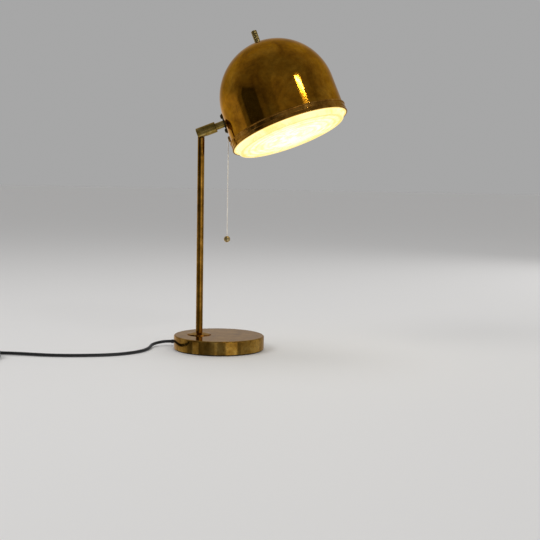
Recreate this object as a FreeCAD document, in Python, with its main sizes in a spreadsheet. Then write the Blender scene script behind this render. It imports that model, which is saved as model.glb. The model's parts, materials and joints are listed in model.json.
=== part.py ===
import FreeCAD, Part
import math
import os
import Sketcher

# Dome shade desk lamp. Millimetres, +Z up. The origin is the centre of the base's underside.
# The arm points along +X from the stem, and the pull cord hangs on the stem's side of the shade.

V = FreeCAD.Vector
doc = FreeCAD.newDocument("DeskLamp")
sheet = doc.addObject("Spreadsheet::Sheet", "Sizes")


class Dim(float):
    """A number that remembers the sheet expression it comes from."""

    def __new__(cls, value, text=None):
        made = float.__new__(cls, value)
        made.text = text or repr(float(value))
        return made

    def _join(self, sign, other, value):
        right = other if isinstance(other, Dim) else Dim(other)
        return Dim(value, f"({self.text} {sign} {right.text})")

    def __add__(self, other):
        return self._join("+", other, float(self) + float(other))

    def __radd__(self, other):
        return Dim(other) + self

    def __sub__(self, other):
        return self._join("-", other, float(self) - float(other))

    def __rsub__(self, other):
        return Dim(other) - self

    def __mul__(self, other):
        return self._join("*", other, float(self) * float(other))

    def __rmul__(self, other):
        return Dim(other) * self

    def __truediv__(self, other):
        return self._join("/", other, float(self) / float(other))

    def __neg__(self):
        return Dim(0.0) - self


def root(value):
    return Dim(math.sqrt(value), f"sqrt({value.text})")


row = 0


def size(name, value):
    """One driving dimension in the sheet."""
    global row
    row += 1
    sheet.set(f"A{row}", name)
    sheet.set(f"B{row}", str(value))
    sheet.setAlias(f"B{row}", name)
    return Dim(value, f"Sizes.{name}")


# ---- driving dimensions -------------------------------------------------------------------

base_radius = size("base_radius", 80)
base_height = size("base_height", 25.2)
base_round = size("base_round", 2.5)
cover_wall = size("cover_wall", 1)
felt_thick = size("felt_thick", 2)
felt_inset = size("felt_inset", 1.6)
weight_gap = size("weight_gap", 0.4)
recess_radius = size("recess_radius", 58)
recess_depth = size("recess_depth", 9)
channel_width = size("channel_width", 10)
channel_depth = size("channel_depth", 12)
channel_overlap = size("channel_overlap", 17.4)

stem_offset = size("stem_offset", 35.5)
stem_radius = size("stem_radius", 6)
stem_bore = size("stem_bore", 5)
flange_radius = size("flange_radius", 21)
flange_height = size("flange_height", 4)
flange_edge = size("flange_edge", 1.2)
flange_neck = size("flange_neck", 2.5)
nipple_bore = size("nipple_bore", 3.5)
nipple_grip = size("nipple_grip", 16)
nipple_end = size("nipple_end", 0.6)
washer_thick = size("washer_thick", 1.5)
foot_washer_radius = size("foot_washer_radius", 14)
foot_nut_flats = size("foot_nut_flats", 17)
foot_nut_height = size("foot_nut_height", 4)
bolt_play = size("bolt_play", 0.3)

pivot_height = size("pivot_height", 380.4)
arm_tilt = size("arm_tilt", 21.4)
shade_roll = size("shade_roll", -9.04)
shoulder_drop = size("shoulder_drop", 9.5)
shoulder_thick = size("shoulder_thick", 3)
spigot_length = size("spigot_length", 16)
running_gap = size("running_gap", 0.08)
face_gap = size("face_gap", 0.2)
tongue_thick = size("tongue_thick", 6.4)
tongue_width = size("tongue_width", 11)
lead_slot = size("lead_slot", 3.8)
lead_slot_rise = size("lead_slot_rise", 1)

barrel_radius = size("barrel_radius", 9.25)
barrel_back = size("barrel_back", 7.3)
barrel_front = size("barrel_front", 27.3)
barrel_edge = size("barrel_edge", 0.5)
slot_width = size("slot_width", 8.2)
slot_reach = size("slot_reach", 7.5)
slot_ceiling = size("slot_ceiling", 6)
passage_radius = size("passage_radius", 4)
socket_floor = size("socket_floor", 9)
pivot_pin_radius = size("pivot_pin_radius", 1.6)
pivot_screw_radius = size("pivot_screw_radius", 2.5)
screw_sink = size("screw_sink", 0.9)
pin_depth = size("pin_depth", 0.6)
friction_washer_inset = size("friction_washer_inset", 0.5)
groove_start = size("groove_start", 17)
groove_length = size("groove_length", 2.6)
groove_depth = size("groove_depth", 1)
grub_radius = size("grub_radius", 2)
grub_sink = size("grub_sink", 0.6)
grub_tip_gap = size("grub_tip_gap", 0.3)

rod_radius = size("rod_radius", 6)
rod_bore = size("rod_bore", 3.5)
rod_seat_gap = size("rod_seat_gap", 0.5)
rod_overrun = size("rod_overrun", 1.5)
spigot_radius = size("spigot_radius", 5)
arm_length = size("arm_length", 145.5)
shade_rise = size("shade_rise", 8.9)

dome_radius = size("dome_radius", 100.8)
dome_wall = size("dome_wall", 1)
skirt_flare = size("skirt_flare", 1.23)
rim_drop = size("rim_drop", 64.15)
bracket_thick = size("bracket_thick", 2)
bracket_width = size("bracket_width", 20)
bracket_half = size("bracket_half", 18)
bracket_gap = size("bracket_gap", 0.04)
bracket_trim = size("bracket_trim", 0.1)
bracket_pitch = size("bracket_pitch", 13)
bracket_screw_radius = size("bracket_screw_radius", 1.5)
screw_head_radius = size("screw_head_radius", 3.5)
screw_head_height = size("screw_head_height", 2.3)
screw_head_round = size("screw_head_round", 1.265)
driver_slot = size("driver_slot", 0.9)
bracket_nut_corner = size("bracket_nut_corner", 3.1)
bracket_nut_height = size("bracket_nut_height", 2.4)
screw_overrun = size("screw_overrun", 2.6)
nut_seat = size("nut_seat", 0.3)
arm_nut_flats = size("arm_nut_flats", 14)
arm_nut_height = size("arm_nut_height", 5)

ring_play = size("ring_play", 0.27)
ring_gap = size("ring_gap", 0.1)
ring_wall = size("ring_wall", 0.9)
ring_height = size("ring_height", 12.25)
bead_radius = size("bead_radius", 1.3)
step_rise = size("step_rise", 7.15)
step_size = size("step_size", 0.7)
lip_flare = size("lip_flare", 1.4)
lip_round = size("lip_round", 0.9)
skirt_gap = size("skirt_gap", 0.2)
lens_flange = size("lens_flange", 2.4)
lens_body_inset = size("lens_body_inset", 7.2)
lens_body_drop = size("lens_body_drop", 8)
lens_wall = size("lens_wall", 2.5)
lens_crown = size("lens_crown", 2)
lens_edge = size("lens_edge", 1)
ridge_rows = size("ridge_rows", 8)
ridge_half = size("ridge_half", 1.2)
ridge_height = size("ridge_height", 0.8)
upstand_inset = size("upstand_inset", 2.7)
upstand_height = size("upstand_height", 8)
notch_low = size("notch_low", 4.8)
notch_width = size("notch_width", 1.3)
notch_depth = size("notch_depth", 0.8)
clip_count = size("clip_count", 3)
clip_width = size("clip_width", 8)
clip_thick = size("clip_thick", 0.8)
clip_height = size("clip_height", 10)
clip_bite = size("clip_bite", 0.4)
clip_gap = size("clip_gap", 0.35)

top_rod_radius = size("top_rod_radius", 5)
top_rod_height = size("top_rod_height", 24.5)
flute_count = size("flute_count", 14)
flute_radius = size("flute_radius", 0.7)
flute_offset = size("flute_offset", 0.175)
flute_start = size("flute_start", 1.5)
top_rod_edge = size("top_rod_edge", 0.5)
stud_radius = size("stud_radius", 3)
stud_grip = size("stud_grip", 12)
apex_washer_radius = size("apex_washer_radius", 8)
apex_nut_flats = size("apex_nut_flats", 10)
apex_nut_height = size("apex_nut_height", 4)
holder_radius = size("holder_radius", 17)
holder_wall = size("holder_wall", 1.5)
holder_cap_height = size("holder_cap_height", 14)
holder_cap_edge = size("holder_cap_edge", 4)
holder_sleeve_length = size("holder_sleeve_length", 42)
insert_thick = size("insert_thick", 8)
contact_radius = size("contact_radius", 3)
contact_thick = size("contact_thick", 1.2)
contact_web = size("contact_web", 0.6)
contact_end = size("contact_end", 3)
bulb_cap_play = size("bulb_cap_play", 0.2)
bulb_tip_radius = size("bulb_tip_radius", 4.5)
bulb_tip_height = size("bulb_tip_height", 2.5)
bulb_cap_edge = size("bulb_cap_edge", 4)
bulb_cap_radius = size("bulb_cap_radius", 13.2)
bulb_cap_length = size("bulb_cap_length", 25)
bulb_radius = size("bulb_radius", 30)
bulb_drop = size("bulb_drop", 52)
bulb_neck_length = size("bulb_neck_length", 6)
bulb_neck_inset = size("bulb_neck_inset", 0.6)
shell_wall = size("shell_wall", 0.5)

switch_drop = size("switch_drop", 38)
switch_radius = size("switch_radius", 8)
switch_length = size("switch_length", 24)
switch_wall = size("switch_wall", 1.5)
switch_travel = size("switch_travel", 7)
switch_seat = size("switch_seat", 0.6)
throat_play = size("throat_play", 0.2)
spring_rest = size("spring_rest", 9)
spring_inner = size("spring_inner", 2.2)
spring_outer = size("spring_outer", 3.8)
plunger_thick = size("plunger_thick", 3)
ferrule_thread = size("ferrule_thread", 4)
ferrule_collar = size("ferrule_collar", 0.1714)
ferrule_nut_gap = size("ferrule_nut_gap", 0.1)
mouth_major = size("mouth_major", 3.2)
mouth_minor = size("mouth_minor", 2)
ferrule_nut_radius = size("ferrule_nut_radius", 5.8)
ferrule_nut_height = size("ferrule_nut_height", 1.2)
ferrule_nut_edge = size("ferrule_nut_edge", 0.4)
pull_cord_radius = size("pull_cord_radius", 0.9)
pull_drop = size("pull_drop", 170.4)
ball_radius = size("ball_radius", 5.5)

lead_radius = size("lead_radius", 1.7)
lead_bend = size("lead_bend", 8)
stem_lead_rise = size("stem_lead_rise", 3.2)
cord_radius = size("cord_radius", 2.75)
cord_exit_height = size("cord_exit_height", 8)
cord_exit_side = size("cord_exit_side", 19)
bush_radius = size("bush_radius", 4.6)
bush_bore = size("bush_bore", 3.9)
bush_reach = size("bush_reach", 3.3)
bush_depth = size("bush_depth", 2.5)
relief_play = size("relief_play", 0.05)
relief_taper = size("relief_taper", 7.5)
relief_length = size("relief_length", 24)
relief_out = size("relief_out", 7)
relief_tip = size("relief_tip", 3.3)
coil_outer = size("coil_outer", 41.9)
coil_pitch = size("coil_pitch", 6.1)
coil_lift = size("coil_lift", 0.7)
tie_width = size("tie_width", 8)
tie_thick = size("tie_thick", 0.6)
tie_play = size("tie_play", 0.6)
plug_length = size("plug_length", 35)
plug_width = size("plug_width", 26)
plug_thick = size("plug_thick", 13.6)
pin_radius = size("pin_radius", 2)
pin_length = size("pin_length", 19)
pin_pitch = size("pin_pitch", 18.6)
plug_neck = size("plug_neck", 5)
plug_shoulder = size("plug_shoulder", 12.25)
plug_round = size("plug_round", 2)
pin_round = size("pin_round", 1.2)
doc.recompute()

ZERO = Dim(0.0)
made = []


def skirt_radius(drop):
    """The skirt's outer radius at a drop below the sphere's centre."""
    return dome_radius + skirt_flare * drop / rim_drop


# what follows from the sizes, and is used in more than one piece
rod_start = socket_floor + rod_seat_gap
ring_inner = skirt_radius(rim_drop) + ring_play
lens_radius = ring_inner - ring_gap
lens_body_radius = lens_radius - lens_body_inset
upstand_radius = lens_radius - upstand_inset
ferrule_stand = ferrule_collar + ferrule_nut_height + ferrule_nut_gap
ferrule_reach = skirt_radius(switch_drop) + ferrule_stand


# ---- frames -------------------------------------------------------------------------------

def frame(name, parent, shift, axis=(0, 0, 1), angle=ZERO):
    """A coordinate frame: shifted in its parent, then turned about an axis."""
    made_frame = doc.addObject("App::Placement", name)
    along = "; ".join(Dim(part).text if not isinstance(part, Dim) else part.text for part in shift)
    turn = f"rotation(vector({axis[0]}; {axis[1]}; {axis[2]}); {angle.text})"
    step = f"placement(vector({along}); {turn})"
    before = f"{parent.Name}.Placement * " if parent else ""
    made_frame.setExpression("Placement", before + step)
    doc.recompute()
    return made_frame


stem_frame = frame("stem_frame", None, (-stem_offset, 0, 0))
pivot_frame = frame("pivot_frame", stem_frame, (0, 0, pivot_height))
arm_frame = frame("arm_frame", pivot_frame, (0, 0, 0), (0, 1, 0), -arm_tilt)
rod_frame = frame("rod_frame", arm_frame, (0, 0, 0), (1, 0, 0), shade_roll)
shade_frame = frame("shade_frame", rod_frame, (arm_length, 0, shade_rise))
mouth_frame = frame("mouth_frame", shade_frame, (-ferrule_reach, 0, -switch_drop), (1, 0, 0), -shade_roll)


def put(thing, where):
    """Binds a sub-part's Placement to a frame."""
    if where:
        thing.setExpression("Placement", f"{where.Name}.Placement")
    return thing


def keep(thing, label, where=None):
    thing.Label = label
    put(thing, where)
    made.append(thing)
    return thing


# ---- sketches and features ----------------------------------------------------------------

def plane(body, role):
    return [item for item in body.Origin.OriginFeatures if item.Role == role][0]


def pin_value(sketch, kind, geometry, point, value):
    """Fixes one coordinate of a sketch point, bound to the sheet where it has an expression."""
    number = sketch.addConstraint(Sketcher.Constraint(kind, -1, 1, geometry, point, float(value)))
    if isinstance(value, Dim):
        sketch.setExpression(f"Constraints[{number}]", value.text)


def outline(body, points, role="XZ_Plane", shift=None, sketch=None):
    """A closed loop. A point is (x, y), or (x, y, (centre_x, centre_y, turn)) at an arc's end."""
    if sketch is None:
        sketch = body.newObject("Sketcher::SketchObject", body.Name + "_outline")
        sketch.AttachmentSupport = [(plane(body, role), "")]
        sketch.MapMode = "FlatFace"
    if shift is not None:
        sketch.setExpression("AttachmentOffset.Base.z", shift.text)
    sides = []
    for place, start in enumerate(points):
        finish = points[(place + 1) % len(points)]
        if len(finish) == 3:
            across, up, turn = finish[2]
            radius = math.hypot(start[0] - across, start[1] - up)
            first = math.atan2(start[1] - up, start[0] - across)
            last = math.atan2(finish[1] - up, finish[0] - across)
            if turn < 0:
                first, last = last, first
            circle = Part.Circle(V(across, up, 0), V(0, 0, 1), radius)
            number = sketch.addGeometry(Part.ArcOfCircle(circle, first, last))
            sides.append((number, (1, 2) if turn > 0 else (2, 1), finish[2]))
        else:
            line = Part.LineSegment(V(start[0], start[1], 0), V(finish[0], finish[1], 0))
            sides.append((sketch.addGeometry(line), (1, 2), None))
    for place, (number, ends, centre) in enumerate(sides):
        following, next_ends, _ = sides[(place + 1) % len(sides)]
        sketch.addConstraint(Sketcher.Constraint("Coincident", number, ends[1], following, next_ends[0]))
    for place, (number, ends, centre) in enumerate(sides):
        pin_value(sketch, "DistanceX", number, ends[0], points[place][0])
        pin_value(sketch, "DistanceY", number, ends[0], points[place][1])
        if centre is not None:
            finish = points[(place + 1) % len(points)]
            flat = abs(finish[0] - points[place][0]) > abs(finish[1] - points[place][1])
            pin_value(sketch, "DistanceY" if flat else "DistanceX", number, 3, centre[1 if flat else 0])
    return sketch


def rings(body, circles, role="XY_Plane", shift=None):
    """A sketch of circles, each (x, y, radius)."""
    sketch = body.newObject("Sketcher::SketchObject", body.Name + "_circles")
    sketch.AttachmentSupport = [(plane(body, role), "")]
    sketch.MapMode = "FlatFace"
    if shift is not None:
        sketch.setExpression("AttachmentOffset.Base.z", shift.text)
    for across, up, radius in circles:
        circle = Part.Circle(V(float(across), float(up), 0), V(0, 0, 1), float(radius))
        number = sketch.addGeometry(circle)
        pin_value(sketch, "DistanceX", number, 3, across)
        pin_value(sketch, "DistanceY", number, 3, up)
        tied = sketch.addConstraint(Sketcher.Constraint("Radius", number, float(radius)))
        sketch.setExpression(f"Constraints[{tied}]", Dim(radius).text if not isinstance(radius, Dim)
                             else radius.text)
    return sketch


def new_body(label, where=None):
    body = doc.addObject("PartDesign::Body", label)
    return keep(body, label, where)


def spin(body, sketch, angle=None, across=False):
    feature = body.newObject("PartDesign::Revolution", body.Name + "_spin")
    feature.Profile = sketch
    feature.ReferenceAxis = (sketch, ["H_Axis" if across else "V_Axis"])
    if angle is None:
        feature.Angle = 360
    else:
        feature.setExpression("Angle", angle.text)
        feature.Midplane = True
    doc.recompute()
    return feature


def pad(body, sketch, length, middle=False, back=False):
    feature = body.newObject("PartDesign::Pad", body.Name + "_pad")
    feature.Profile = sketch
    feature.setExpression("Length", length.text)
    feature.Midplane = middle
    feature.Reversed = back
    doc.recompute()
    return feature


def cut(body, sketch, length, middle=True, back=False):
    """A pocket that must take material away."""
    before = body.Shape.Volume
    feature = body.newObject("PartDesign::Pocket", body.Name + "_cut")
    feature.Profile = sketch
    feature.setExpression("Length", length.text)
    feature.Midplane = middle
    feature.Reversed = back
    doc.recompute()
    if body.Shape.Volume > before - 1e-6:
        print("no cut:", body.Label)
    return feature


def box_points(low_x, high_x, low_y, high_y):
    return [(low_x, low_y), (high_x, low_y), (high_x, high_y), (low_x, high_y)]


def tube_points(inner, outer, low, high):
    return [(inner, low), (outer, low), (outer, high), (inner, high)]


def tube_along(inner, outer, start, end):
    """The half section of a tube along X."""
    return [(start, inner), (end, inner), (end, outer), (start, outer)]


def turned(label, points, where=None):
    """A body of revolution about its own Z axis."""
    body = new_body(label, where)
    spin(body, outline(body, points))
    return body


def lathe(label, points, where=None):
    """A body of revolution about its own X axis."""
    body = new_body(label, where)
    spin(body, outline(body, points), across=True)
    return body


def hex_points(flats):
    """The corners of a hexagon across its flats, flats facing the sketch's X axis."""
    half = flats / 2
    corner = half * Dim(2 / math.sqrt(3), "(2 / sqrt(3))")
    return [(half, corner / 2), (ZERO, corner), (-half, corner / 2),
            (-half, -(corner / 2)), (ZERO, -corner), (half, -(corner / 2))]


# ---- shapes made straight from the sheet's numbers ------------------------------------------

def solid_part(label, shape, where=None):
    thing = doc.addObject("Part::Feature", label)
    thing.Shape = shape
    return keep(thing, label, where)


def arc_through(start, heading, finish):
    """The arc that leaves start along heading and ends at finish."""
    chord = finish - start
    way = V(chord)
    way.normalize()
    lean = V(heading)
    lean.normalize()
    turn = lean.getAngle(way)
    if turn < 1e-4:
        return Part.LineSegment(start, finish).toShape()
    toward = lean + way
    toward.normalize()
    middle = start + toward * (chord.Length / (2 * math.cos(turn / 2)))
    return Part.Arc(start, middle, finish).toShape()


def two_arcs(start, heading, finish, arriving):
    """A smooth pair of arcs between two points with a direction at each."""
    across = finish - start
    both = heading + arriving
    bend = 2 * (1 - heading.dot(arriving))
    along = across.dot(both)
    if bend < 1e-9:
        reach = across.dot(across) / (2 * along)
    else:
        reach = (-2 * along + math.sqrt(4 * along * along + 4 * bend * across.dot(across))) / (2 * bend)
    joint = (start + finish + (heading - arriving) * reach) * 0.5
    corner = start + heading * reach
    return [arc_through(start, heading, joint), arc_through(joint, joint - corner, finish)]


def rounded_path(points, radii=None):
    """Straight runs joined by tangent arcs, each as large as its two runs allow."""
    edges = []
    found = []
    here = points[0]
    for before, corner, after in zip(points, points[1:], points[2:]):
        inward = corner - before
        outward = after - corner
        shorter = min(inward.Length, outward.Length)
        inward.normalize()
        outward.normalize()
        turn = inward.getAngle(outward)
        trim = 0.45 * shorter
        found.append(trim / math.tan(turn / 2))
        leave = corner - inward * trim
        arrive = corner + outward * trim
        edges.append(Part.LineSegment(here, leave).toShape())
        edges.append(arc_through(leave, inward, arrive))
        here = arrive
    edges.append(Part.LineSegment(here, points[-1]).toShape())
    return edges, found


def sweep(edges, radius):
    """A round tube along a chain of edges."""
    path = Part.Wire(edges)
    first = edges[0]
    start = first.valueAt(first.FirstParameter)
    heading = first.tangentAt(first.FirstParameter)
    profile = Part.Wire([Part.makeCircle(float(radius), start, heading)])
    tube = path.makePipeShell([profile], True, False)
    ratio = tube.Volume / (math.pi * radius * radius * path.Length)
    if abs(ratio - 1) > 0.01:
        print("tube volume is off:", round(ratio, 4))
    return tube, path.Length


# ---- base ---------------------------------------------------------------------------------

def base_parts():
    weight_radius = base_radius - cover_wall - weight_gap
    weight_top = base_height - cover_wall
    turned("felt_pad", [(ZERO, ZERO), (weight_radius - felt_inset, ZERO),
                        (weight_radius - felt_inset, felt_thick), (ZERO, felt_thick)])

    weight = turned("base_weight", [
        (recess_radius, felt_thick), (weight_radius, felt_thick),
        (weight_radius, weight_top - base_round - cover_wall),
        (weight_radius - base_round - cover_wall, weight_top),
        (ZERO, weight_top), (ZERO, felt_thick + recess_depth),
        (recess_radius, felt_thick + recess_depth)])
    cut(weight, rings(weight, [(-stem_offset, ZERO, stem_bore + bolt_play)]), base_height * 2)
    channel = outline(weight, box_points(
        -base_radius, -(recess_radius - channel_overlap), cord_exit_side - channel_width / 2,
        cord_exit_side + channel_width / 2), "XY_Plane")
    cut(weight, channel, channel_depth * 2 + felt_thick * 2)

    inner = base_radius - cover_wall
    bend = base_round - cover_wall
    cover = turned("base_cover", [
        (inner, felt_thick), (base_radius, felt_thick), (base_radius, base_height - base_round),
        (base_radius - base_round, base_height,
         (base_radius - base_round, base_height - base_round, 1)),
        (ZERO, base_height), (ZERO, base_height - cover_wall),
        (inner - bend, base_height - cover_wall),
        (inner, base_height - base_round, (inner - bend, base_height - base_round, -1))])
    cut(cover, rings(cover, [(-stem_offset, ZERO, stem_bore + bolt_play)]), base_height * 3)
    hole = rings(cover, [(cord_exit_side, cord_exit_height, bush_radius)], "YZ_Plane")
    cut(cover, hole, base_radius * 2, middle=False, back=False)


def foot_parts():
    low = base_height
    turned("foot_flange", [
        (stem_radius, low), (flange_radius, low), (flange_radius, low + flange_edge),
        (stem_radius + flange_neck, low + flange_height), (stem_radius, low + flange_height)], stem_frame)
    stem_top = pivot_height - shoulder_drop - shoulder_thick - face_gap
    turned("stem_tube", tube_points(stem_bore, stem_radius, low, stem_top), stem_frame)
    washer_low = felt_thick + recess_depth - washer_thick
    nut_low = washer_low - foot_nut_height
    turned("foot_nipple", tube_points(nipple_bore, stem_bore, nut_low - nipple_end, low + nipple_grip),
           stem_frame)
    turned("foot_washer", tube_points(stem_bore, foot_washer_radius, washer_low,
                                      washer_low + washer_thick), stem_frame)
    nut = new_body("foot_nut", stem_frame)
    pad(nut, outline(nut, hex_points(foot_nut_flats), "XY_Plane", nut_low), foot_nut_height)
    cut(nut, rings(nut, [(ZERO, ZERO, stem_bore)]), base_height * 2)


# ---- stem head and knuckle ------------------------------------------------------------------

def stem_head():
    fit = stem_bore - running_gap
    shoulder_low = -(shoulder_drop + shoulder_thick)
    head = turned("stem_head", [
        (ZERO, shoulder_low - spigot_length), (fit, shoulder_low - spigot_length),
        (fit, shoulder_low), (stem_radius, shoulder_low), (stem_radius, -shoulder_drop),
        (ZERO, -shoulder_drop)], pivot_frame)
    half = tongue_width / 2
    tongue = outline(head, [(-half, -shoulder_drop), (half, -shoulder_drop), (half, ZERO),
                            (-half, ZERO, (ZERO, ZERO, 1))])
    pad(head, tongue, tongue_thick, middle=True)
    slot = outline(head, box_points(-lead_slot / 2, stem_radius * 2,
                                    -(shoulder_drop - lead_slot_rise), stem_radius * 2))
    cut(head, slot, lead_slot)
    cut(head, rings(head, [(ZERO, ZERO, lead_slot / 2)]),
        (shoulder_drop + shoulder_thick + spigot_length) * 3)
    cut(head, rings(head, [(ZERO, ZERO, pivot_pin_radius + running_gap)], "XZ_Plane"), tongue_thick * 2)


def knuckle_parts():
    r = barrel_radius
    barrel = lathe("knuckle_barrel", [
        (-barrel_back, ZERO), (barrel_front, ZERO), (barrel_front, r - barrel_edge),
        (barrel_front - barrel_edge, r), (barrel_edge - barrel_back, r),
        (-barrel_back, r - barrel_edge)], arm_frame)
    # slot for the tongue, open below and at the back end
    slot = outline(barrel, box_points(-barrel_back * 2, slot_reach, -r * 2, slot_ceiling))
    cut(barrel, slot, slot_width)
    # the lower back corner clears the stem's shoulder as the arm tilts
    corner = outline(barrel, [(-r * 2, ZERO), (-r, ZERO), (ZERO, -r, (ZERO, ZERO, 1)), (ZERO, -r * 2),
                              (-r * 2, -r * 2)])
    cut(barrel, corner, r * 4)
    cut(barrel, rings(barrel, [(ZERO, ZERO, passage_radius)], "YZ_Plane"), socket_floor * 2.5)
    bore = rings(barrel, [(ZERO, ZERO, rod_radius + running_gap)], "YZ_Plane", socket_floor)
    cut(barrel, bore, barrel_front, middle=False, back=True)
    cut(barrel, rings(barrel, [(ZERO, ZERO, pivot_screw_radius)], "XZ_Plane"), r * 4)
    grub_place = groove_start + groove_length / 2
    grub_hole = rings(barrel, [(grub_place, ZERO, grub_radius)], "XZ_Plane")
    cut(barrel, grub_hole, r * 2, middle=False, back=False)

    near = tongue_thick / 2 - pin_depth
    washer_face = slot_width / 2
    far = r - screw_sink
    screw = [(ZERO, near), (pivot_pin_radius, near), (pivot_pin_radius, washer_face),
             (pivot_screw_radius, washer_face), (pivot_screw_radius, far), (ZERO, far)]
    both_sides("pivot_screws", screw)
    washer = tube_points(pivot_pin_radius, tongue_width / 2 - friction_washer_inset, tongue_thick / 2 + running_gap,
                         washer_face)
    both_sides("friction_washers", washer)

    groove_floor = rod_radius - groove_depth
    tip = groove_length / 2 - grub_tip_gap
    shoulder = rod_radius + running_gap
    lathe_about("rod_grub_screw", [
        (ZERO, groove_floor + running_gap), (tip, groove_floor + running_gap), (tip, shoulder),
        (grub_radius, shoulder), (grub_radius, r - grub_sink), (ZERO, r - grub_sink)], grub_place,
        arm_frame)


def both_sides(label, points):
    """The same turned piece on both sides of the knuckle, about the pivot's axis."""
    half = Part.makePolygon([V(float(x), float(y), 0) for x, y in points] +
                            [V(float(points[0][0]), float(points[0][1]), 0)])
    one = Part.Face(half).revolve(V(0, 0, 0), V(0, 1, 0), 360)
    other = one.mirror(V(0, 0, 0), V(0, 1, 0))
    return solid_part(label, Part.makeCompound([one, other]), arm_frame)


def lathe_about(label, points, place, where):
    """A screw whose axis runs along Y at a place on the arm, on the far side."""
    corners = [V(float(place) + float(x), float(y), 0) for x, y in points]
    outline_wire = Part.makePolygon(corners + [corners[0]])
    face = Part.Face(outline_wire)
    return solid_part(label, face.revolve(V(float(place), 0, 0), V(0, 1, 0), 360), where)


# ---- arm rod and shade ------------------------------------------------------------------------

def arm_parts():
    seat = arm_length - skirt_radius(shade_rise + rod_radius) - bracket_thick - bracket_gap
    wall = arm_length - skirt_radius(shade_rise) + dome_wall
    nut_face = wall + nut_seat
    end = nut_face + arm_nut_height + rod_overrun
    groove_end = groove_start + groove_length
    floor = rod_radius - groove_depth
    lathe("arm_rod", [
        (rod_start, rod_bore), (end, rod_bore), (end, spigot_radius), (seat, spigot_radius),
        (seat, rod_radius), (groove_end, rod_radius), (groove_end, floor), (groove_start, floor),
        (groove_start, rod_radius), (rod_start, rod_radius)], rod_frame)
    nut = new_body("arm_nut", rod_frame)
    pad(nut, outline(nut, hex_points(arm_nut_flats), "YZ_Plane", nut_face), arm_nut_height)
    cut(nut, rings(nut, [(ZERO, ZERO, spigot_radius)], "YZ_Plane"), arm_length * 2)
    return end


def bracket_drops():
    return (shade_rise - bracket_pitch, shade_rise + bracket_pitch)


def obround(body, sketch, half, top, low):
    """The bracket's outline: straight sides and round ends."""
    high = -(top + half)
    deep = -(low - half)
    outline(body, [(half, deep, (ZERO, deep, 1)), (half, high), (-half, high, (ZERO, high, 1)),
                   (-half, deep)], sketch=sketch)


def bracket_part():
    top = shade_rise - bracket_half
    low = shade_rise + bracket_half
    body = new_body("side_bracket", shade_frame)
    inner_top = skirt_radius(top) + bracket_gap
    inner_low = skirt_radius(low) + bracket_gap
    sketch = outline(body, [(-inner_low, -low), (-(inner_low + bracket_thick), -low),
                            (-(inner_top + bracket_thick), -top), (-inner_top, -top)])
    reach = bracket_width / 2 / dome_radius
    spread = Dim(math.degrees(2 * math.asin(reach)), f"(2 * asin({reach.text}))")
    spin(body, sketch, spread)
    # what lies outside the obround outline is cut away
    half = bracket_width / 2 - bracket_trim
    far = bracket_half * 2
    rim = outline(body, box_points(-far, far, -(shade_rise + far), far), "YZ_Plane")
    obround(body, rim, half, top, low)
    cut(body, rim, dome_radius * 4)
    holes = [(ZERO, -shade_rise, spigot_radius)]
    holes += [(ZERO, -drop, bracket_screw_radius) for drop in bracket_drops()]
    cut(body, rings(body, holes, "YZ_Plane"), dome_radius * 4)


def shade_fasteners():
    """The two screws through the bracket and the skirt, and their nuts inside."""
    screws = []
    nuts = []
    head_radius = float(screw_head_radius)
    head_height = float(screw_head_height)
    corner = float(bracket_nut_corner)
    wide = float(driver_slot)
    inward = V(-1, 0, 0)
    for drop in bracket_drops():
        seat = float(skirt_radius(drop + screw_head_radius) + bracket_thick + bracket_gap)
        inside = float(dome_radius - dome_wall)
        if drop < 0:
            inside = math.sqrt(inside ** 2 - (corner - drop) ** 2)
        inside -= float(nut_seat)
        head = Part.makeCylinder(head_radius, head_height, V(-seat, 0, -drop), inward)
        rim = [edge for edge in head.Edges if abs(edge.CenterOfMass.x + seat + head_height) < 1e-3
               and len(edge.Vertexes) == 1]
        head = head.makeFillet(screw_head_round, rim)
        tip = inside - float(bracket_nut_height + screw_overrun)
        shank = Part.makeCylinder(bracket_screw_radius, seat - tip, V(-tip, 0, -drop), inward)
        corner_of_slot = V(-seat - head_height - wide, -head_radius, -drop - wide / 2)
        slot = Part.makeBox(wide * 2, 2 * head_radius, wide, corner_of_slot)
        screws.append(head.fuse(shank).cut(slot).removeSplitter())
        turns = [math.radians(60 * number) for number in range(6)]
        hexagon = [V(-inside, corner * math.cos(turn), corner * math.sin(turn) - drop) for turn in turns]
        block = Part.Face(Part.makePolygon(hexagon + [hexagon[0]])).extrude(V(bracket_nut_height, 0, 0))
        nuts.append(block.cut(shank))
    solid_part("bracket_screws", Part.makeCompound(screws), shade_frame)
    solid_part("bracket_nuts", Part.makeCompound(nuts), shade_frame)


def dome_part():
    outer = dome_radius
    inner = dome_radius - dome_wall
    low = rim_drop - lens_flange - skirt_gap
    hole = stud_radius + bolt_play
    top_out = root(outer * outer - hole * hole)
    top_in = root(inner * inner - hole * hole)
    skirt_low = skirt_radius(low)
    dome = turned("dome_shade", [
        (skirt_low, -low), (outer, ZERO), (hole, top_out, (ZERO, ZERO, 1)), (hole, top_in),
        (inner, ZERO, (ZERO, ZERO, -1)), (skirt_low - dome_wall, -low)], shade_frame)
    holes = [(ZERO, -shade_rise, spigot_radius), (ZERO, -switch_drop, ferrule_thread)]
    holes += [(ZERO, -drop, bracket_screw_radius) for drop in bracket_drops()]
    cut(dome, rings(dome, holes, "YZ_Plane"), outer * 2, middle=False, back=False)


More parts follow.
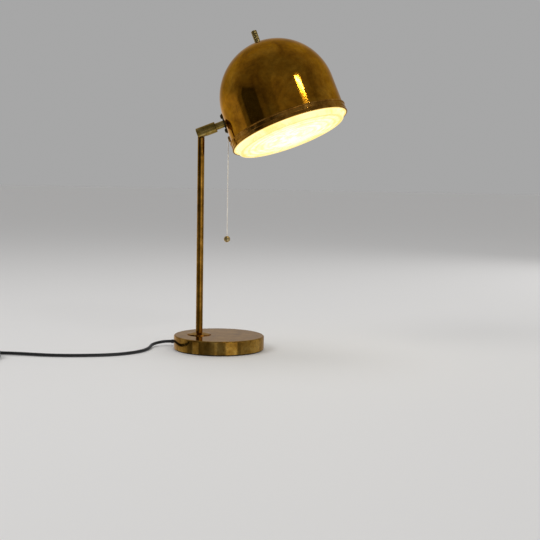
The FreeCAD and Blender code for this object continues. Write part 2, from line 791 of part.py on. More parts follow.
def rim_part():
    outer = ring_inner + ring_wall
    lip = outer + lip_flare - lip_round
    ring_top = rim_drop - ring_height
    step = rim_drop - step_rise
    bead = ring_top - bead_radius
    turned("rim_ring", [
        (ring_inner, -rim_drop), (lip, -rim_drop),
        (lip, -(rim_drop - lip_round * 2), (lip, -(rim_drop - lip_round), 1)),
        (outer, -(step + step_size * 2)), (outer, -step, (outer, -(step + step_size), 1)),
        (outer, -(bead + bead_radius)), (outer, -(bead - bead_radius), (outer, -bead, 1)),
        (ring_inner, -(bead - bead_radius))], shade_frame)


def lens_part():
    """A pressed lens: ridged body below, flange under the skirt and ring, upstand inside the skirt."""
    flange_top = rim_drop - lens_flange
    low = rim_drop + lens_body_drop
    step = (lens_body_radius - lens_wall) / ridge_rows
    points = [(ZERO, -(low + lens_crown))]
    for number in range(1, int(ridge_rows)):
        across = step * number
        share = number / ridge_rows
        height = low + lens_crown * (1 - share * share)
        points.append((across - ridge_half, -height))
        points.append((across, -(height + ridge_height)))
        points.append((across + ridge_half, -height))
    upstand_top = flange_top - upstand_height
    notch_top = flange_top - notch_low - notch_width
    notch_floor = upstand_radius - notch_depth
    upstand_inner = upstand_radius - lens_wall
    body_inner = lens_body_radius - lens_wall
    points += [(lens_body_radius - lens_edge, -low), (lens_body_radius, -(low - lens_edge)),
               (lens_body_radius, -rim_drop), (lens_radius, -rim_drop), (lens_radius, -flange_top),
               (upstand_radius, -flange_top), (upstand_radius, -(flange_top - notch_low)),
               (notch_floor, -(flange_top - notch_low)), (notch_floor, -notch_top),
               (upstand_radius, -notch_top), (upstand_radius, -upstand_top),
               (upstand_inner, -upstand_top), (upstand_inner, -flange_top), (body_inner, -rim_drop),
               (body_inner, -(low - lens_wall)), (ZERO, -(low + lens_crown - lens_wall))]
    turned("diffuser_lens", points, shade_frame)


def clip_parts():
    """Spring clips on the skirt's inside, each with a finger in the lens's groove."""
    finger = float(rim_drop - lens_flange - notch_low - (notch_width + clip_thick) / 2 + clip_thick)
    outer = float(skirt_radius(rim_drop - lens_flange - notch_low) - dome_wall - clip_gap)
    inner = float(upstand_radius - clip_bite)
    width = float(clip_width)
    clips = []
    for number in range(int(clip_count)):
        strip = Part.makeBox(clip_thick, width, clip_height, V(outer - clip_thick, -width / 2, -finger))
        reach = Part.makeBox(outer - inner, width, clip_thick, V(inner, -width / 2, -finger))
        clip = strip.fuse(reach).removeSplitter()
        clip.rotate(V(0, 0, 0), V(0, 0, 1), 360 * number / clip_count)
        clips.append(clip)
    solid_part("lens_clips", Part.makeCompound(clips), shade_frame)


def apex_parts():
    apex = dome_radius
    top = apex + top_rod_height
    edge = top_rod_edge
    rod = turned("top_rod", [
        (stud_radius, apex), (top_rod_radius - edge, apex), (top_rod_radius, apex + edge),
        (top_rod_radius, top - edge), (top_rod_radius - edge, top), (ZERO, top),
        (ZERO, apex + stud_grip), (stud_radius, apex + stud_grip)], shade_frame)
    start = apex + flute_start
    flute = rings(rod, [(top_rod_radius + flute_offset, ZERO, flute_radius)], "XY_Plane", start)
    groove = cut(rod, flute, top_rod_height, middle=False, back=True)
    ring = rod.newObject("PartDesign::PolarPattern", "top_rod_flutes")
    ring.Originals = [groove]
    ring.Axis = (flute, ["N_Axis"])
    ring.Angle = 360
    ring.setExpression("Occurrences", flute_count.text)
    rod.Tip = ring
    doc.recompute()

    under = root((dome_radius - dome_wall) * (dome_radius - dome_wall)
                 - apex_washer_radius * apex_washer_radius)
    washer_low = under - washer_thick
    nut_low = washer_low - apex_nut_height
    turned("apex_washer", tube_points(stud_radius, apex_washer_radius, washer_low, under), shade_frame)
    nut = new_body("apex_nut", shade_frame)
    pad(nut, outline(nut, hex_points(apex_nut_flats), "XY_Plane", nut_low), apex_nut_height)
    cut(nut, rings(nut, [(ZERO, ZERO, stud_radius)]), dome_radius * 4)
    cap_top = nut_low
    turned("holder_stud", [(ZERO, cap_top - holder_wall * 2), (stud_radius, cap_top - holder_wall * 2),
                           (stud_radius, apex + stud_grip), (ZERO, apex + stud_grip)], shade_frame)
    return cap_top


def holder_parts(cap_top):
    """The lampholder hangs from the stud, and the bulb hangs in it, glass down."""
    cap_low = cap_top - holder_cap_height
    inner = holder_radius - holder_wall
    edge = holder_cap_edge
    turned("holder_cap", [
        (stud_radius, cap_top), (holder_radius - edge, cap_top), (holder_radius, cap_top - edge),
        (holder_radius, cap_low), (inner, cap_low), (inner, cap_top - edge - holder_wall / 2),
        (holder_radius - edge - holder_wall / 2, cap_top - holder_wall),
        (stud_radius, cap_top - holder_wall)], shade_frame)
    sleeve_low = cap_low - holder_sleeve_length
    turned("holder_sleeve", tube_points(inner, holder_radius, sleeve_low, cap_low), shade_frame)
    insert_low = cap_low - insert_thick
    turned("holder_insert", [(ZERO, insert_low), (inner, insert_low), (inner, cap_low),
                             (ZERO, cap_low)], shade_frame)
    shell_inner = bulb_cap_radius + bulb_cap_play
    shell_outer = shell_inner + shell_wall
    shell_low = sleeve_low + contact_end
    tip_top = insert_low - contact_thick
    web_low = insert_low - contact_web
    turned("holder_contacts", [
        (ZERO, tip_top), (contact_radius, tip_top), (contact_radius, web_low), (shell_inner, web_low),
        (shell_inner, shell_low), (shell_outer, shell_low), (shell_outer, insert_low),
        (ZERO, insert_low)], shade_frame)
    cap_end = tip_top - bulb_tip_height
    turned("bulb_tip", [(ZERO, cap_end), (bulb_tip_radius, cap_end),
                        (bulb_tip_radius - contact_web, tip_top), (ZERO, tip_top)], shade_frame)
    cap_start = cap_end - bulb_cap_length
    turned("bulb_cap", [(ZERO, cap_start), (bulb_cap_radius, cap_start),
                        (bulb_cap_radius, cap_end - bulb_cap_edge),
                        (bulb_cap_radius - bulb_cap_edge, cap_end), (ZERO, cap_end)], shade_frame)
    centre = cap_start - bulb_drop
    side = bulb_radius * 0.9
    rise = root(bulb_radius * bulb_radius - side * side)
    neck = bulb_cap_radius - bulb_neck_inset
    turned("bulb_glass", [
        (ZERO, centre - bulb_radius), (side, centre + rise, (ZERO, centre, 1)),
        (neck, cap_start - bulb_neck_length), (neck, cap_start), (ZERO, cap_start)], shade_frame)
    return cap_low


# ---- pull switch and pull cord ------------------------------------------------------------------

def switch_parts():
    """Local X points from the mouth towards the shade's axis."""
    inside = ferrule_stand + dome_wall + switch_seat
    end = inside + switch_length
    front = inside + switch_wall
    bore = switch_radius - switch_wall
    throat = mouth_major - mouth_minor
    lathe("pull_switch_body", [
        (inside, throat + throat_play), (inside, switch_radius), (end, switch_radius), (end, ZERO),
        (end - switch_wall, ZERO), (end - switch_wall, bore), (front, bore),
        (front, throat + throat_play)], mouth_frame)
    collar = mouth_major + mouth_minor
    lathe("switch_ferrule", [
        (ferrule_collar, collar), (ZERO, collar), (ZERO, throat, (ZERO, mouth_major, 1)),
        (inside, throat), (inside, ferrule_thread), (ferrule_collar, ferrule_thread)], mouth_frame)
    nut_face = ferrule_collar + ferrule_nut_height
    edge = ferrule_nut_edge
    lathe("ferrule_nut", [
        (nut_face, ferrule_thread), (ferrule_collar, ferrule_thread),
        (ferrule_collar, ferrule_nut_radius - edge), (ferrule_collar + edge, ferrule_nut_radius),
        (nut_face, ferrule_nut_radius)], mouth_frame)
    rest = front + spring_rest
    back = rest + plunger_thick
    slide = bore - running_gap
    lathe("switch_plunger", [(rest, ZERO), (rest, slide), (back, slide), (back, ZERO)], mouth_frame)
    lathe("switch_spring", tube_along(spring_inner, spring_outer, front, rest), mouth_frame)
    held = rest - switch_travel - throat_play
    lathe("pull_cord_throat", [(ZERO, ZERO), (held, ZERO), (held, pull_cord_radius),
                               (ZERO, pull_cord_radius)], mouth_frame)


def pull_parts():
    """The cord rolls over the mouth's lip and hangs plumb."""
    mouth = mouth_frame.Placement.Base
    along = mouth_frame.Placement.Rotation.multVec(V(1, 0, 0))
    up = mouth_frame.Placement.Rotation.multVec(V(0, 0, 1))
    roll = float(mouth_major)
    centre = mouth - up * roll
    start = centre + V(-roll, 0, 0)
    half = up + V(-1, 0, 0)
    half.normalize()
    bend = Part.Arc(mouth, centre + half * roll, start).toShape()
    profile = Part.Wire([Part.makeCircle(pull_cord_radius, mouth, along * -1)])
    tube = Part.Wire([bend]).makePipeShell([profile], True, False)
    solid_part("pull_cord_bend", tube)
    hang = float(pull_drop)
    solid_part("pull_cord", Part.makeCylinder(pull_cord_radius, hang, start, V(0, 0, -1)))
    ball_centre = start - V(0, 0, hang)
    ball = Part.makeSphere(ball_radius, ball_centre)
    sink = Part.makeCylinder(pull_cord_radius, ball_radius * 2, ball_centre, V(0, 0, 1))
    solid_part("pull_ball", ball.cut(sink))
    for name, place in (("mouth", mouth), ("lip centre", centre), ("ball", ball_centre)):
        print(name, [round(value, 3) for value in place])


# ---- leads ----------------------------------------------------------------------------------------

def lead_parts(arm_end, cap_low):
    shoulder_low = float(shoulder_drop + shoulder_thick + spigot_length)
    half_turn = math.radians(90 - float(arm_tilt)) / 2
    trim = float(lead_bend) * math.tan(half_turn)
    lean = math.radians(float(arm_tilt))
    toward = V(math.cos(lean), 0, math.sin(lean))
    bottom = V(0, 0, -shoulder_low)
    leave = V(0, 0, -trim)
    arrive = toward * trim
    edges = [Part.LineSegment(bottom, leave).toShape(), arc_through(leave, V(0, 0, 1), arrive),
             Part.LineSegment(arrive, toward * float(rod_start)).toShape()]
    solid_part("knuckle_lead", sweep(edges, lead_radius)[0], pivot_frame)

    stem_high = pivot_height - shoulder_drop - shoulder_thick - spigot_length
    turned("stem_lead", tube_points(ZERO, lead_radius, felt_thick + stem_lead_rise, stem_high), stem_frame)

    wall = float(arm_length - arm_end)
    rise = float(shade_rise)
    hold = float(holder_radius)
    high = float(cap_low)
    route = [V(-wall - 20, 0, -rise), V(-wall + 6, 0, -rise), V(-wall + 18, 0, 8), V(-wall + 26, 0, 30),
             V(-wall + 46, 0, 62), V(-wall + 60, 0, high + 5), V(-hold, 0, high + 5)]
    solid_part("shade_lead", sweep(rounded_path(route)[0], lead_radius)[0], shade_frame)


# ---- mains cord -----------------------------------------------------------------------------------

def cord_parts():
    side = float(cord_exit_side)
    level = float(cord_exit_height)
    face = -math.sqrt(float(base_radius) ** 2 - side ** 2)
    outward = V(-1, 0, 0)
    back = V(face + bush_depth, side, level)
    ring = Part.makeCylinder(bush_radius, bush_reach + bush_depth, back, outward)
    bore = Part.makeCylinder(bush_bore, bush_reach * 2 + bush_depth, back, outward)
    solid_part("cord_bush", ring.cut(bore))
    tip = float(face - bush_reach - relief_out)
    neck = V(tip + relief_taper, side, level)
    radius = float(bush_bore - relief_play)
    sleeve = Part.makeCylinder(radius, relief_length - relief_taper, V(tip + relief_length, side, level),
                               outward)
    cone = Part.makeCone(radius, relief_tip, relief_taper, neck, outward)
    solid_part("cord_strain_relief", sleeve.fuse(cone).removeSplitter())

    # chosen by hand, from the strain relief to the coil
    floor = float(cord_radius)
    first = coil_lift + cord_radius
    centre = V(-382, -165, 0)
    entry = V(centre.x, centre.y + float(coil_outer), first)
    route = [V(tip, side, level), V(-98, 19, level), V(-112, 11.5, 6.2), V(-120, -3.5, 4.6),
             V(-119.5, -23, 3.1), V(-122, -49, floor), V(-136, -79, floor), V(-166, -106, floor),
             V(-212, -122, floor), V(-266, -129.5, floor), V(-325, entry.y, first), entry]
    edges, radii = rounded_path(route)
    tube, length = sweep(edges, cord_radius)
    print("cord radii", [round(value, 1) for value in radii])
    solid_part("power_cord", tube)

    edges, finish, heading, gap = coil_path(centre, first)
    wound, wound_length = sweep(edges, cord_radius)
    print("coil's least gap to itself", round(gap, 2))
    print("cord length", round(length + wound_length, 1), "free", round(length, 1))
    solid_part("power_cord_coil", wound)
    plug_parts(finish, heading)
    tie_part(centre)


turns_in = 3.5
turns_out = 3.25


def coil_radius(turn):
    """The spiral's radius after a number of turns."""
    low = float(coil_outer) - turns_in * float(coil_pitch)
    if turn < turns_in:
        return float(coil_outer) - turn * float(coil_pitch)
    if turn < turns_in + 0.5:
        return low - min(turn - turns_in, turns_in + 0.5 - turn) * float(coil_pitch)
    return low + (turn - turns_in - 0.5) * float(coil_pitch)


def coil_point(centre, level, turn):
    angle = math.radians(90) + 2 * math.pi * turn
    climb = min(max(turn - turns_in, 0), 0.5) * 2
    rise = float(coil_pitch) * (3 * climb ** 2 - 2 * climb ** 3)
    radius = coil_radius(turn)
    return V(centre.x + radius * math.cos(angle), centre.y + radius * math.sin(angle), level + rise)


def coil_path(centre, level):
    """Two layers: in along the floor, up in a half turn, and out again."""
    total = turns_in + 0.5 + turns_out
    step = 0.25
    tiny = 0.002
    stops = []
    for number in range(int(round(total / step)) + 1):
        turn = number * step
        here = coil_point(centre, level, turn)
        before = coil_point(centre, level, max(turn - tiny, 0))
        after = coil_point(centre, level, turn + tiny)
        heading = after - before
        heading.normalize()
        stops.append((here, heading))
    stops[0] = (stops[0][0], V(-1, 0, 0))
    last = stops[-1][0]
    out = V(0, -1, 0)
    stops[-1] = (last, out)
    lower = V(last.x, last.y - 42, float(plug_thick) / 2)
    stops.append((lower, out))
    edges = [Part.LineSegment(stops[0][0], stops[0][0] + V(-1, 0, 0) * 2).toShape()]
    here, heading = stops[0][0] + V(-2, 0, 0), V(-1, 0, 0)
    for finish, arriving in stops[1:]:
        edges += two_arcs(here, heading, finish, arriving)
        here, heading = finish, arriving
    finish = lower + out * 6
    edges.append(Part.LineSegment(lower, finish).toShape())
    gap = least_gap(edges)
    return edges, finish, out, gap


def least_gap(edges):
    """The least distance between turns, surface to surface, measured on points."""
    samples = []
    for edge in edges:
        count = max(2, int(edge.Length / 2))
        samples += edge.discretize(count)[:-1]
    walked = [0.0]
    for one, other in zip(samples, samples[1:]):
        walked.append(walked[-1] + (other - one).Length)
    least = 1e9
    for i, one in enumerate(samples):
        for k in range(i + 1, len(samples)):
            if walked[k] - walked[i] > 40:
                least = min(least, (samples[k] - one).Length)
    return least - 2 * float(cord_radius)


def plug_parts(back, heading):
    """A flat two-pin plug lying beside the coil. Its local X runs along the cord."""
    turn = FreeCAD.Rotation(V(1, 0, 0), heading)
    place = FreeCAD.Placement(back, turn)
    narrow = float(plug_neck)
    half = float(plug_width) / 2
    low = -float(plug_thick) / 2
    shoulder = float(plug_shoulder)
    corners = [V(0, -narrow, low), V(shoulder, -half, low), V(plug_length, -half, low),
               V(plug_length, half, low), V(shoulder, half, low), V(0, narrow, low)]
    block = Part.Face(Part.makePolygon(corners + [corners[0]])).extrude(V(0, 0, plug_thick))
    solid_part("power_plug", block.makeFillet(plug_round, block.Edges)).Placement = place
    pins = []
    for side in (-1, 1):
        start = V(float(plug_length), side * float(pin_pitch) / 2, 0)
        pin = Part.makeCylinder(pin_radius, pin_length, start, V(1, 0, 0))
        tip = max(pin.Edges, key=lambda edge: edge.CenterOfMass.x)
        pins.append(pin.makeFillet(pin_round, [tip]))
    solid_part("plug_pins", Part.makeCompound(pins)).Placement = place


def tie_part(centre):
    """A band round the coil's turns, on the side away from where the cord leaves."""
    around = float(cord_radius + tie_play)
    inner = float(coil_outer) - (turns_in + 0.25) * float(coil_pitch) - around
    outer = float(coil_outer) + around
    thick = float(tie_thick)
    low = thick
    high = float(coil_lift + cord_radius + coil_pitch) + around
    width = float(tie_width)
    out_box = Part.makeBox(outer - inner + 2 * thick, width, high - low + 2 * thick,
                           V(inner - thick, -width / 2, low - thick))
    in_box = Part.makeBox(outer - inner, width + 2, high - low, V(inner, -width / 2 - 1, low))
    band = out_box.cut(in_box)
    band.rotate(V(0, 0, 0), V(0, 0, 1), -60)
    band.translate(centre)
    solid_part("cord_tie", band)


# ---- everything ---------------------------------------------------------------------------------

base_parts()
foot_parts()
stem_head()
knuckle_parts()
rod_end = arm_parts()
bracket_part()
shade_fasteners()
dome_part()
rim_part()
lens_part()
clip_parts()
holder_top = apex_parts()
holder_low = holder_parts(holder_top)
switch_parts()
pull_parts()
lead_parts(rod_end, holder_low)
cord_parts()
doc.recompute()

faults = []
for thing in doc.Objects:
    if "Invalid" in thing.State or "Error" in thing.State:
        faults.append(thing.Name)
for thing in made:
    if thing.Shape.isNull() or not thing.Shape.isValid():
        faults.append(thing.Label)
if faults:
    raise SystemExit("failed: " + ", ".join(faults))

os.makedirs("parts", exist_ok=True)
for thing in made:
    thing.Shape.exportStep(f"parts/{thing.Label}.step")
print(len(made), "sub-parts")
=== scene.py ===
import json
import math

import bpy
from mathutils import Matrix, Vector


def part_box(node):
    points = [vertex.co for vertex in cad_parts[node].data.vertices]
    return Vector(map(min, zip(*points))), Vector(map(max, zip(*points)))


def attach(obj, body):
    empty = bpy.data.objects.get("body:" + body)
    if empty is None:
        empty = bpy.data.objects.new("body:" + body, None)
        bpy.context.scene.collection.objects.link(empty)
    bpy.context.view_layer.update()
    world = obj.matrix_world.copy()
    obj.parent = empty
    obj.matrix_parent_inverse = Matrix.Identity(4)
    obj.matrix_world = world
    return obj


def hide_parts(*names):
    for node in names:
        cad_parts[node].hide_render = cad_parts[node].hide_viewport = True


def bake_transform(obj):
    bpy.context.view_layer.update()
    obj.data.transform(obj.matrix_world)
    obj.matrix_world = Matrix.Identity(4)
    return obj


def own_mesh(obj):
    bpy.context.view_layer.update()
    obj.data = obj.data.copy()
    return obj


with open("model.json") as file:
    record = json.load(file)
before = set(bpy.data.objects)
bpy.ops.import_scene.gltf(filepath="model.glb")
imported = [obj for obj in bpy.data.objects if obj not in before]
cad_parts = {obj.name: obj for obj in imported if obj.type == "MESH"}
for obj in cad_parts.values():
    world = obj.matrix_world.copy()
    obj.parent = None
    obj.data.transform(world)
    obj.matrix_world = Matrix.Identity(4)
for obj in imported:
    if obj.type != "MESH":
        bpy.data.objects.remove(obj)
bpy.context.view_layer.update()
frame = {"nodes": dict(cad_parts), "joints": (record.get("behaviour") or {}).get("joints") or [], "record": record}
nodes = frame["nodes"]
joints = {joint["name"]: joint for joint in frame["joints"]}
scene = bpy.context.scene
scene.view_settings.view_transform = "Standard"

# ---- places, from the frame's joints ---------------------------------------------------------

pivot = Vector(joints["arm_tilt"]["pos_m"])
arm_axis = Vector(joints["shade_roll"]["axis"]).normalized()
lip_centre = Vector(joints["pull_swing_tilt"]["pos_m"])
mouth = Vector(joints["pull_swing_roll"]["pos_m"])

SHADE_ROLL = math.radians(-9.04)
ARM_LENGTH = 0.1455
SHADE_RISE = 0.0089

across = Vector((0, 1, 0))
arm_up = arm_axis.cross(across)
roll = Matrix.Rotation(SHADE_ROLL, 3, arm_axis)
shade_up = (roll @ arm_up).normalized()
shade_side = (roll @ across).normalized()
shade_centre = pivot + arm_axis * ARM_LENGTH + shade_up * SHADE_RISE
shade_turn = Matrix((arm_axis, shade_side, shade_up)).transposed()


# ---- materials ---------------------------------------------------------------------------------

class Shader:
    """Small helper that builds one node material."""

    def __init__(self, name):
        self.material = bpy.data.materials.new(name)
        self.material.use_nodes = True
        self.tree = self.material.node_tree
        self.shader = self.tree.nodes["Principled BSDF"]

    def add(self, kind, **settings):
        node = self.tree.nodes.new(kind)
        for key, value in settings.items():
            setattr(node, key, value)
        return node

    def link(self, source, target):
        self.tree.links.new(source, target)

    def place(self, centre=None, turn=None):
        """Coordinates in metres in a piece's own frame."""
        where = self.add("ShaderNodeTexCoord").outputs["Object"]
        if centre is None:
            return where
        mapping = self.add("ShaderNodeMapping", vector_type="TEXTURE")
        mapping.inputs["Location"].default_value = centre
        if turn is not None:
            mapping.inputs["Rotation"].default_value = turn.to_euler()
        self.link(where, mapping.inputs["Vector"])
        return mapping.outputs["Vector"]

    def stretch(self, where, scale):
        mapping = self.add("ShaderNodeMapping")
        mapping.inputs["Scale"].default_value = scale
        self.link(where, mapping.inputs["Vector"])
        return mapping.outputs["Vector"]

    def noise(self, where, scale, detail=4.0, rough=0.55, distort=0.0):
        node = self.add("ShaderNodeTexNoise")
        node.inputs["Scale"].default_value = scale
        node.inputs["Detail"].default_value = detail
        node.inputs["Roughness"].default_value = rough
        node.inputs["Distortion"].default_value = distort
        self.link(where, node.inputs["Vector"])
        return node.outputs["Fac"]

    def ramp(self, value, stops):
        """A colour ramp; each stop is (place, colour or grey)."""
        node = self.add("ShaderNodeValToRGB")
        while len(node.color_ramp.elements) < len(stops):
            node.color_ramp.elements.new(0.5)
        for element, (place, colour) in zip(node.color_ramp.elements, stops):
            element.position = place
            if not isinstance(colour, tuple):
                colour = (colour, colour, colour)
            element.color = (*colour, 1)
        self.link(value, node.inputs["Fac"])
        return node.outputs["Color"]

    def mix(self, share, one, other, kind="MIX"):
        node = self.add("ShaderNodeMix", data_type="RGBA", blend_type=kind)
        for source, number in ((share, 0), (one, 6), (other, 7)):
            if isinstance(source, (int, float)):
                node.inputs[number].default_value = source
            elif isinstance(source, tuple):
                node.inputs[number].default_value = (*source, 1)
            else:
                self.link(source, node.inputs[number])
        return node.outputs[2]

    def maths(self, operation, one, other=None, third=None):
        node = self.add("ShaderNodeMath", operation=operation)
        for number, source in enumerate((one, other, third)):
            if source is None:
                continue
            if isinstance(source, (int, float)):
                node.inputs[number].default_value = source
            else:
                self.link(source, node.inputs[number])
        return node.outputs[0]

    def bump(self, height, strength, distance):
        node = self.add("ShaderNodeBump")
        node.inputs["Strength"].default_value = strength
        node.inputs["Distance"].default_value = distance
        self.link(height, node.inputs["Height"])
        self.link(node.outputs["Normal"], self.shader.inputs["Normal"])

    def set(self, **values):
        """Set or link the shader's inputs, named with _ for a space."""
        for key, value in values.items():
            socket = self.shader.inputs[key.replace("_", " ")]
            if isinstance(value, bpy.types.NodeSocket):
                self.link(value, socket)
            elif isinstance(value, tuple):
                socket.default_value = (*value, 1)
            else:
                socket.default_value = value
        return self


EDGE_TINT = (1.0, 0.78, 0.5)    # brass seen at a grazing angle


def brass(name, dark, middle, light, rough, grain, centre=None, turn=None, tint=EDGE_TINT,
          lacquer=0.0):
    """Aged polished brass: mottled tarnish, wiped smears and a fine grain."""
    made = Shader(name)
    where = made.place(centre, turn)
    cloud = made.noise(where, grain, 5, 0.6, 0.4)
    fleck = made.noise(where, grain * 5, 4, 0.65)
    tone = made.ramp(cloud, [(0.3, dark), (0.5, middle), (0.72, light)])
    spots = made.ramp(fleck, [(0.36, 0.55), (0.62, 1.0)])
    made.set(Base_Color=made.mix(0.55, tone, spots, "MULTIPLY"))
    smear = made.noise(made.stretch(where, (1, 1, 0.35)), grain * 1.6, 2, 0.6)
    made.set(Roughness=made.ramp(smear, [(0.3, rough[0]), (0.75, rough[1])]), Metallic=1.0)
    made.set(Specular_Tint=tint, Coat_Weight=lacquer, Coat_Roughness=0.05)
    made.bump(made.noise(where, grain * 24, 3, 0.6), 0.016, 0.0003)
    return made.material


def painted(name, colour, rough, grain=300, metal=0.0, bump=0.1, distance=0.0002, spread=0.25):
    """A plain finish with slight variation of tone and a fine surface grain."""
    made = Shader(name)
    where = made.place()
    cloud = made.noise(where, grain * 0.2, 4)
    low = tuple(part * (1 - spread) for part in colour)
    high = tuple(min(1.0, part * (1 + spread)) for part in colour)
    made.set(Base_Color=made.ramp(cloud, [(0.35, low), (0.68, high)]), Metallic=metal)
    wear = made.noise(where, grain * 0.5)
    made.set(Roughness=made.ramp(wear, [(0.3, rough * 0.8), (0.7, rough * 1.2)]))
    made.bump(made.noise(where, grain, 3), bump, distance)
    return made.material


# dark, middle and light tones, lowest and highest roughness, grain
shade_brass = brass("shade_brass", (0.2, 0.07, 0.002), (0.38, 0.155, 0.006), (0.56, 0.265, 0.02),
                    (0.05, 0.13), 26, shade_centre, shade_turn, tint=(1.0, 0.74, 0.44),
                    lacquer=0.08)
rim_brass = brass("rim_brass", (0.2, 0.08, 0.012), (0.36, 0.165, 0.024), (0.52, 0.27, 0.06),
                  (0.08, 0.16), 60)
base_brass = brass("base_brass", (0.22, 0.1, 0.012), (0.42, 0.22, 0.035), (0.58, 0.36, 0.09),
                   (0.06, 0.16), 40, tint=(1.0, 0.84, 0.68))
stem_brass = brass("stem_brass", (0.1, 0.045, 0.005), (0.24, 0.11, 0.012), (0.4, 0.2, 0.03),
                   (0.06, 0.13), 40)
rod_brass = brass("rod_brass", (0.3, 0.22, 0.07), (0.42, 0.31, 0.11), (0.55, 0.42, 0.17),
                  (0.16, 0.26), 60)
ball_brass = brass("ball_brass", (0.42, 0.29, 0.1), (0.6, 0.45, 0.2), (0.78, 0.62, 0.36),
                   (0.12, 0.22), 220)
olive_brass = brass("olive_brass", (0.16, 0.12, 0.035), (0.32, 0.21, 0.045), (0.46, 0.34, 0.13),
                    (0.1, 0.2), 90)
dark_brass = brass("dark_brass", (0.04, 0.03, 0.015), (0.1, 0.075, 0.035), (0.2, 0.15, 0.06),
                   (0.3, 0.5), 120)
plain_brass = brass("plain_brass", (0.4, 0.28, 0.09), (0.6, 0.43, 0.16), (0.75, 0.55, 0.25),
                    (0.2, 0.35), 120)
steel = painted("steel", (0.5, 0.5, 0.5), 0.32, metal=1.0)
iron = painted("iron", (0.05, 0.05, 0.052), 0.7, 600, bump=0.5, distance=0.0006)
felt = painted("felt", (0.02, 0.022, 0.02), 0.95, 1800, bump=0.8, distance=0.0008)
ceramic = painted("ceramic", (0.82, 0.8, 0.74), 0.2, spread=0.06)
switch_plastic = painted("switch_plastic", (0.03, 0.03, 0.03), 0.4)
cord_black = painted("cord_black", (0.012, 0.012, 0.013), 0.42, 900)
plug_black = painted("plug_black", (0.015, 0.015, 0.017), 0.38, 700)
lead_white = painted("lead_white", (0.7, 0.68, 0.6), 0.45)
string = painted("string", (0.92, 0.8, 0.72), 0.8, 4000, bump=0.6, distance=0.0003)


RIDGE_PITCH = 0.0116
LENS_REACH = 0.105    # radius at which the lens's colours end


def lit_lens():
    """Frosted ridged diffuser, lit by a painted glow: pale in the middle, yellow bands towards its edge."""
    made = Shader("lit_lens")
    where = made.place(shade_centre, shade_turn)
    apart = made.add("ShaderNodeSeparateXYZ")
    made.link(where, apart.inputs[0])
    flat = made.add("ShaderNodeCombineXYZ")
    made.link(apart.outputs[0], flat.inputs[0])
    made.link(apart.outputs[1], flat.inputs[1])
    length = made.add("ShaderNodeVectorMath", operation="LENGTH")
    made.link(flat.outputs[0], length.inputs[0])
    radius = length.outputs["Value"]
    share = made.maths("DIVIDE", radius, LENS_REACH)
    # painted glow for the bulb's light through the lens: white in the middle, yellower towards the edge, with the
    # ridge bands and the yellow patches of the cloud below multiplied in
    glow = made.ramp(share, [
        (0.0, (1.0, 0.98, 0.92)), (0.5, (1.0, 0.97, 0.84)), (0.76, (1.0, 0.92, 0.62)),
        (0.88, (1.0, 0.82, 0.32)), (0.93, (1.0, 0.92, 0.58)), (1.0, (1.0, 0.78, 0.26))])
    wave = made.maths("SINE", made.maths("MULTIPLY", radius, 2 * math.pi / RIDGE_PITCH))
    bands = made.ramp(made.maths("MULTIPLY_ADD", wave, 0.5, 0.5),
                      [(0.1, (1.0, 0.82, 0.36)), (0.7, (1, 1, 1))])
    patches = made.noise(where, 28, 3, 0.6, 1.6)
    cloud = made.ramp(patches, [(0.4, (1.0, 0.88, 0.42)), (0.54, (1.0, 1.0, 1.0))])
    outer = made.ramp(share, [(0.25, 0.1), (0.75, 0.75)])
    colour = made.mix(outer, glow, bands, "MULTIPLY")
    colour = made.mix(0.75, colour, cloud, "MULTIPLY")
    made.set(Base_Color=(0.3, 0.26, 0.16), Roughness=0.35)
    made.set(Emission_Color=colour, Emission_Strength=0.98)
    made.bump(wave, 0.4, 0.0006)
    return made.material


def lit_bulb():
    """Opal glass, lit; the lens hides it."""
    made = Shader("lit_bulb")
    where = made.place()
    tone = made.ramp(made.noise(where, 30), [(0.3, (1.0, 0.8, 0.5)), (0.7, (1.0, 0.92, 0.75))])
    made.set(Base_Color=tone, Roughness=0.3, Emission_Color=tone, Emission_Strength=3.0)
    return made.material


finish_of = {
    "shade_brass": shade_brass, "polished_brass": base_brass, "olive_brass": olive_brass,
    "dark_brass": dark_brass, "plain_brass": plain_brass, "steel": steel, "iron": iron,
    "felt": felt, "diffuser": lit_lens(), "opal_glass": lit_bulb(), "ceramic": ceramic,
    "switch_plastic": switch_plastic, "cord_black": cord_black, "plug_black": plug_black,
    "lead_white": lead_white, "pull_string": string,
}
own_finish = {"stem_tube": stem_brass, "stem_head": stem_brass, "rim_ring": rim_brass,
              "top_rod": rod_brass, "pull_ball": ball_brass}
slot_of = {entry["node"]: entry["material_slot"] for entry in frame["record"]["subparts"]}

for name, thing in nodes.items():
    finish = own_finish.get(name, finish_of[slot_of[name]])
    thing.data.materials.clear()
    thing.data.materials.append(finish)


# ---- cords ---------------------------------------------------------------------------------------

CORD_RADIUS = 0.00275
COIL_OUTER = 0.0419
COIL_PITCH = 0.0061
COIL_LIFT = 0.0007
PLUG_THICK = 0.0136
TURNS_IN = 3.5      # spiralling in, in the lower layer
TURNS_OUT = 3.25    # spiralling out, in the upper layer
CLIMB = 0.5         # the turn between them, in which the cord climbs a layer
coil_centre = Vector((-0.382, -0.165, 0))


def coil_radius(turn):
    """Radius after so many turns: inwards in the lower layer, outwards in the upper."""
    low = COIL_OUTER - TURNS_IN * COIL_PITCH
    if turn < TURNS_IN:
        return COIL_OUTER - turn * COIL_PITCH
    if turn < TURNS_IN + CLIMB:
        return low - min(turn - TURNS_IN, TURNS_IN + CLIMB - turn) * COIL_PITCH
    return low + (turn - TURNS_IN - CLIMB) * COIL_PITCH


